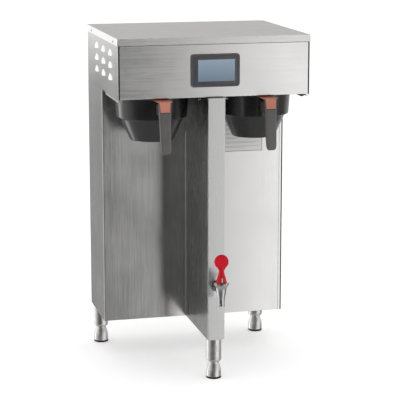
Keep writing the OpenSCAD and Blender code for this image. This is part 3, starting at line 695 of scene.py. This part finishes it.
def build_display():
    low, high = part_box("display_bezel")
    bm = node_mesh("display_bezel")
    front = [e for e in bm.edges
             if all(abs(v.co.y - low.y) < 0.05 * MM for v in e.verts)
             and (all(abs(abs(v.co.x) - high.x) < 0.6 * MM for v in e.verts)
                  or all(min(abs(v.co.z - low.z), abs(v.co.z - high.z)) < 0.6 * MM for v in e.verts))]
    bmesh.ops.bevel(bm, geom=front, offset=1.6 * MM, segments=2, profile=0.5, affect="EDGES",
                    clamp_overlap=True)
    bezel = new_object("display_bezel_detail", bm)
    add_bevel(bezel, 0.25 * MM)
    apply_modifiers(bezel)
    dress(bezel, "bezel_plastic", "chassis", SLOT_OF["display_bezel"], "display_bezel")
    bezel.data.materials.append(MATERIALS["bezel_rim"])
    inner = high.x - 6 * MM
    for face in bezel.data.polygons:
        spot = face.center
        outside = abs(spot.x) > inner or not low.z + 4 * MM <= spot.z <= high.z - 4 * MM
        if outside and face.normal.y > -0.96:
            face.material_index = 1
    soften("touchscreen_glass", 0.15 * MM)
    soften("lcd_panel", 0.1 * MM)
    soften("display_module", 0.3 * MM)


# ---------------------------------------------------------------- baskets

def build_baskets():
    for side in ("left", "right"):
        soften(side + "_basket", 0.7 * MM)
        soften(side + "_filter_grid", 0.2 * MM)
        moulded(side + "_basket_handle", 1.0 * MM, 8)
        moulded(side + "_handle_insert", 0.8 * MM, 5)


# ---------------------------------------------------------------- faucet

def build_faucet():
    for node in ("faucet_body", "faucet_shank", "faucet_nut", "faucet_bonnet", "faucet_stem",
                 "faucet_seat_cup", "faucet_pin"):
        soften(node, 0.4 * MM)
    handle = moulded("faucet_handle", 0.7 * MM, 5)
    handle.visible_glossy = False
    build_spring()


def build_spring():
    """The coil spring, shaded smooth on a mesh of its own. The real spring shortens from its fixed upper
    end by the stem's travel.
    """
    spring = new_object("faucet_spring_detail", node_mesh("faucet_spring"), 60)
    slot = SLOT_OF["faucet_spring"]
    dress(spring, slot, BODY_OF["faucet_spring"], slot, "faucet_spring")
    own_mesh(spring)


# ---------------------------------------------------------------- legs and feet

LEG_BORE = 9 * MM
LEG_TOP_GAP = 0.2 * MM
STUD_R = 7.9 * MM
STUD_TIP_R = 7.0 * MM
STUD_LOW = 45 * MM
PAD_R = 20 * MM
PAD_HEIGHT = 5.0 * MM
LEG_R = 20.5 * MM
LEG_NECK = 5.5 * MM
FOOT_OUTLINE = [  # radius, height above the counter, corner radius, all in millimetres
    (0, 5.0, 0), (19.4, 5.0, 0.5), (19.9, 6.2, 1), (20.0, 15, 9), (19.4, 22.5, 9), (17.6, 31, 12),
    (15.2, 38, 8), (13.8, 42.3, 3), (13.6, 45.3, 0.3), (0, 45.3, 0)]


def build_feet():
    """Turned leg tubes with rolled lower ends, and bell-shaped feet on dark rubber pads."""
    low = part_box("leg_tubes")[0]
    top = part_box("trunk_base_plate")[0].z - LEG_TOP_GAP
    neck = LEG_R - LEG_NECK
    bm = bmesh.new()
    for foot in ("front_foot", "rear_left_foot", "rear_right_foot"):
        foot_low, foot_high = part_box(foot)
        x, y = ((foot_low + foot_high) / 2).xy
        corners = [(LEG_BORE, low.z + 0.3 * MM), (neck, low.z), (LEG_R - 1.2 * MM, low.z + 2.2 * MM),
                   (LEG_R, low.z + 7 * MM), (LEG_R, top), (LEG_BORE, top)]
        lathe_mesh(bm, rounded(corners, [0, 0.8 * MM, 3 * MM, 5 * MM, 0.5 * MM, 0]), (x, y, 0))
        outline = [(radius * MM, height * MM) for radius, height, _ in FOOT_OUTLINE]
        corner_radii = [corner * MM for _, _, corner in FOOT_OUTLINE]
        bell = bmesh.new()
        lathe_mesh(bell, rounded(outline, corner_radii), (x, y, foot_low.z))
        stud_top = foot_high.z
        stud = [(0, STUD_LOW), (STUD_R, STUD_LOW), (STUD_R, stud_top - MM), (STUD_TIP_R, stud_top),
                (0, stud_top)]
        lathe_mesh(bell, stud, (x, y, 0), 48)
        dress(new_object(foot + "_bell", bell), "bright_steel", foot, SLOT_OF[foot], foot)
        pad = [(0, 0), (PAD_R - 0.7 * MM, 0), (PAD_R, 0.9 * MM), (PAD_R, PAD_HEIGHT), (0, PAD_HEIGHT)]
        pad_radii = [0, 0.8 * MM, 0.8 * MM, 0.6 * MM, 0]
        dress(lathe(foot + "_pad", rounded(pad, pad_radii), (x, y, foot_low.z)), "black_rubber", foot,
              SLOT_OF[foot])
    dress(new_object("leg_tubes_detail", bm), "bright_steel", "chassis", SLOT_OF["leg_tubes"],
          "leg_tubes")


# ---------------------------------------------------------------- label

LABEL_LEFT = 0.024
LABEL_RIGHT = 0.195
LABEL_LOW = 0.567
LABEL_HIGH = 0.668
LABEL_THICK = 0.25 * MM
BORDER_INSET = 1.5 * MM
BORDER_WIDTH = 1.0 * MM
RULE_ROWS = 7
RULE_WIDTH = 0.8 * MM
RULE_SHIFT = 1.6 * MM
MARK_SIZE = 5 * MM
MARK_INSET = 2.5 * MM
MARK_GAP = 3 * MM
INK_THICK = 0.05 * MM


def plate(bm, low, high, radius=1.5 * MM, steps=5):
    """Thin upright plate with rounded corners, facing -Y."""
    corners = [(low.x + radius, low.z + radius, 180), (high.x - radius, low.z + radius, 270),
               (high.x - radius, high.z - radius, 0), (low.x + radius, high.z - radius, 90)]
    loop = []
    for x, z, start in corners:
        for k in range(steps + 1):
            angle = math.radians(start + 90 * k / steps)
            loop.append((x + radius * math.cos(angle), z + radius * math.sin(angle)))
    loft(bm, [[(x, y, z) for x, z in loop] for y in (low.y, high.y)])


def build_label_rows(left, right, low, high, front, rear):
    """Plain marks and ruled lines in the place of the printed text."""
    bm = bmesh.new()
    pitch = (high - low) / (RULE_ROWS + 1)
    for row in range(1, RULE_ROWS + 1):
        z = low + row * pitch
        mark = left + MARK_INSET
        plate(bm, Vector((mark, front, z - MARK_SIZE / 2)),
              Vector((mark + MARK_SIZE, rear, z + MARK_SIZE / 2)), 0.8 * MM, 2)
        start = mark + MARK_SIZE + MARK_GAP
        for shift, length in ((RULE_SHIFT, 1.0), (-RULE_SHIFT, 0.55 + 0.35 * (row % 3) / 2)):
            end = start + (right - 4 * MM - start) * length
            middle = z + shift
            plate(bm, Vector((start, front, middle - RULE_WIDTH / 2)),
                  Vector((end, rear, middle + RULE_WIDTH / 2)), 0.2 * MM, 2)
    dress(new_object("label_rules", bm), "label_rule", "chassis", SLOT_OF["trunk_front_right_panel"])


def build_label():
    """Generic sticker behind the right basket: a thin border, plain marks and ruled lines."""
    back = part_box("trunk_front_right_panel")[0].y
    bm = bmesh.new()
    plate(bm, Vector((LABEL_LEFT, back - LABEL_THICK, LABEL_LOW)), Vector((LABEL_RIGHT, back, LABEL_HIGH)))
    dress(new_object("blank_label", bm), "label", "chassis", SLOT_OF["trunk_front_right_panel"])
    bm = bmesh.new()
    left, right = LABEL_LEFT + BORDER_INSET, LABEL_RIGHT - BORDER_INSET
    low, high = LABEL_LOW + BORDER_INSET, LABEL_HIGH - BORDER_INSET
    front = back - LABEL_THICK - INK_THICK
    rear = back - LABEL_THICK
    bars = [(left, right, low, low + BORDER_WIDTH), (left, right, high - BORDER_WIDTH, high),
            (left, left + BORDER_WIDTH, low, high), (right - BORDER_WIDTH, right, low, high)]
    for x0, x1, z0, z1 in bars:
        plate(bm, Vector((x0, front, z0)), Vector((x1, rear, z1)), 0.2 * MM, 2)
    dress(new_object("label_border", bm), "label_ink", "chassis", SLOT_OF["trunk_front_right_panel"])
    build_label_rows(left, right, low, high, front, rear)


# ---------------------------------------------------------------- everything that keeps its CAD shape

def paint_remaining():
    for name, obj in NODES.items():
        if obj.hide_render:
            continue
        obj.data.materials.clear()
        obj.data.materials.append(MATERIALS[SLOT_OF[name]])


# ---------------------------------------------------------------- studio

LEVEL_STOPS = [  # degrees from the front towards the right, brightness seen by upright faces
    (-180, 0.30), (-166, 0.26), (-150, 0.28), (-140, 2.8), (-128, 2.8), (-124, 1.0), (-98, 1.0),
    (-85, 0.7), (-60, 0.08), (-7, 0.03), (-3, 0.50), (2, 0.50), (6, 0.03), (13.8, 0.03),
    (15.8, 1.45), (60, 1.3), (75, 0.25), (100, 0.25), (120, 0.75), (166, 0.65), (180, 0.30)]
RAISED_STOPS = [  # the same for faces that lean back a little, such as louvres and the cover
    (-180, 1.3), (-150, 1.3), (-120, 1.5), (-60, 0.8), (-30, 0.2), (12, 0.06), (16, 1.0),
    (60, 1.2), (100, 1.0), (140, 0.62), (166, 0.57), (180, 0.60)]
OVERHEAD_STOPS = [  # the same for what looks up, such as folds and the tops of round parts
    (-180, 0.55), (-120, 0.9), (-95, 0.9), (-60, 0.06), (60, 0.06), (95, 0.7), (140, 0.55), (180, 0.55)]
OVERHEAD_FROM = 0.30
OVERHEAD_TO = 0.42
LEVEL_TOP = -0.13  # height of the reflected direction where the raised band starts to mix in
RAISED_FROM = -0.06
FLOOR_GLOW = 0.55
FLOOR_FROM = -0.75  # and where the floor takes over below
FLOOR_TO = -0.45
WORLD_PEAK = 3.2
DIFFUSE_GLOW = 0.86
CAMERA_AZIMUTH = -14.0
CAMERA_ELEVATION = 11.6
CAMERA_DISTANCE = 4.174
CAMERA_TARGET = Vector((0, -0.028, 0.4515))
CAMERA_LENS = 139.08
FLOOR_HALF = 30.0
FLOOR_LIFT = 0.30


def build_world():
    world = bpy.data.worlds.new("studio")
    bpy.context.scene.world = world
    world.use_nodes = True
    world.cycles.sampling_method = "NONE"
    tree = world.node_tree
    tree.nodes.clear()
    add, link = tree.nodes.new, tree.links.new

    def calc(kind, a, b=None):
        node = add("ShaderNodeMath")
        node.operation = kind
        for socket, value in zip(node.inputs, (a, b)):
            if value is None:
                continue
            if isinstance(value, (int, float)):
                socket.default_value = value
            else:
                link(value, socket)
        return node.outputs["Value"]

    def ramp(stops, turn):
        """Brightness by azimuth, as a colour output scaled down to at most 1."""
        node = add("ShaderNodeValToRGB")
        marks = node.color_ramp.elements
        while len(marks) > 1:
            marks.remove(marks[-1])
        for i, (azimuth, value) in enumerate(stops):
            spot = (azimuth + 180) / 360
            mark = marks[0] if i == 0 else marks.new(spot)
            mark.position = spot
            mark.color = (value / WORLD_PEAK,) * 3 + (1,)
        link(turn, node.inputs["Fac"])
        return node.outputs["Color"]

    def between(value, low, high):
        node = add("ShaderNodeMapRange")
        node.interpolation_type = "SMOOTHSTEP"
        node.inputs["From Min"].default_value = low
        node.inputs["From Max"].default_value = high
        link(value, node.inputs["Value"])
        return node.outputs["Result"]

    def blend(factor, a, b):
        node = add("ShaderNodeMix")
        node.data_type = "RGBA"
        link(factor, node.inputs["Factor"])
        link(a, node.inputs["A"])
        if isinstance(b, tuple):
            node.inputs["B"].default_value = b
        else:
            link(b, node.inputs["B"])
        return node.outputs["Result"]

    place = add("ShaderNodeTexCoord")
    split = add("ShaderNodeSeparateXYZ")
    link(place.outputs["Generated"], split.inputs["Vector"])
    angle = calc("ARCTAN2", split.outputs["X"], calc("MULTIPLY", split.outputs["Y"], -1.0))
    turn = calc("ADD", calc("DIVIDE", angle, 2 * math.pi), 0.5)
    height = split.outputs["Z"]
    upright = blend(between(height, LEVEL_TOP, RAISED_FROM), ramp(LEVEL_STOPS, turn),
                    ramp(RAISED_STOPS, turn))
    upright = blend(between(height, OVERHEAD_FROM, OVERHEAD_TO), upright, ramp(OVERHEAD_STOPS, turn))
    below = calc("SUBTRACT", 1.0, between(height, FLOOR_FROM, FLOOR_TO))
    whole = blend(below, upright, (FLOOR_GLOW / WORLD_PEAK,) * 3 + (1,))
    seen = add("ShaderNodeBackground")
    link(whole, seen.inputs["Color"])
    seen.inputs["Strength"].default_value = WORLD_PEAK
    backdrop = add("ShaderNodeBackground")
    backdrop.inputs["Color"].default_value = (1, 1, 1, 1)
    soft = add("ShaderNodeBackground")
    soft.inputs["Color"].default_value = (DIFFUSE_GLOW,) * 3 + (1,)
    path = add("ShaderNodeLightPath")
    shown = add("ShaderNodeMixShader")
    link(path.outputs["Is Glossy Ray"], shown.inputs["Fac"])
    link(soft.outputs["Background"], shown.inputs[1])
    link(seen.outputs["Background"], shown.inputs[2])
    mix = add("ShaderNodeMixShader")
    link(path.outputs["Is Camera Ray"], mix.inputs["Fac"])
    link(shown.outputs["Shader"], mix.inputs[1])
    link(backdrop.outputs["Background"], mix.inputs[2])
    out = add("ShaderNodeOutputWorld")
    link(mix.outputs["Shader"], out.inputs["Surface"])


def area_light(name, place, target, size, power, glossy=True):
    data = bpy.data.lights.new(name, "AREA")
    data.shape = "RECTANGLE"
    data.size, data.size_y = size
    data.energy = power
    light = bpy.data.objects.new(name, data)
    light.location = place
    light.rotation_euler = (Vector(place) - Vector(target)).to_track_quat("Z", "Y").to_euler()
    light.visible_camera = False
    light.visible_glossy = glossy
    bpy.context.scene.collection.objects.link(light)


def build_floor():
    bm = bmesh.new()
    spots = [(-FLOOR_HALF, -FLOOR_HALF), (FLOOR_HALF, -FLOOR_HALF), (FLOOR_HALF, FLOOR_HALF),
             (-FLOOR_HALF, FLOOR_HALF)]
    bm.faces.new([bm.verts.new((x, y, 0)) for x, y in spots])
    floor = new_object("floor", bm)
    n = Nodes("floor_paper")
    fibre = n.noise(n.coords(), 500.0, 3.0, 0.6)
    n.link(n.shades(fibre, (0.90, 0.90, 0.90), (0.93, 0.93, 0.93)), n.bsdf.inputs["Base Color"])
    n.set(Roughness=0.9, Emission_Color=(1, 1, 1, 1), Emission_Strength=FLOOR_LIFT)
    floor.data.materials.append(n.mat)
    floor.visible_glossy = False


def build_camera():
    azimuth, elevation = math.radians(CAMERA_AZIMUTH), math.radians(CAMERA_ELEVATION)
    back = Vector((math.sin(azimuth) * math.cos(elevation), -math.cos(azimuth) * math.cos(elevation),
                   math.sin(elevation)))
    data = bpy.data.cameras.new("photo_camera")
    data.lens = CAMERA_LENS
    data.sensor_width = 36
    camera = bpy.data.objects.new("photo_camera", data)
    camera.location = CAMERA_TARGET + back * CAMERA_DISTANCE
    camera.rotation_euler = back.to_track_quat("Z", "Y").to_euler()
    bpy.context.scene.collection.objects.link(camera)
    bpy.context.scene.camera = camera


def build_studio():
    build_world()
    build_floor()
    build_camera()
    area_light("overhead", (0, -0.6, 3.0), (0, 0, 0.4), (3.0, 3.0), 14, glossy=False)
    area_light("front_fill", (0.4, -3.6, 1.6), (0, 0, 0.5), (2.5, 1.8), 7, glossy=False)
    bpy.context.scene.view_settings.view_transform = "Standard"
    bpy.context.scene.view_settings.look = "None"


build_sheet_metal()
build_screws()
build_display()
build_baskets()
build_faucet()
build_feet()
build_label()
paint_remaining()
build_studio()
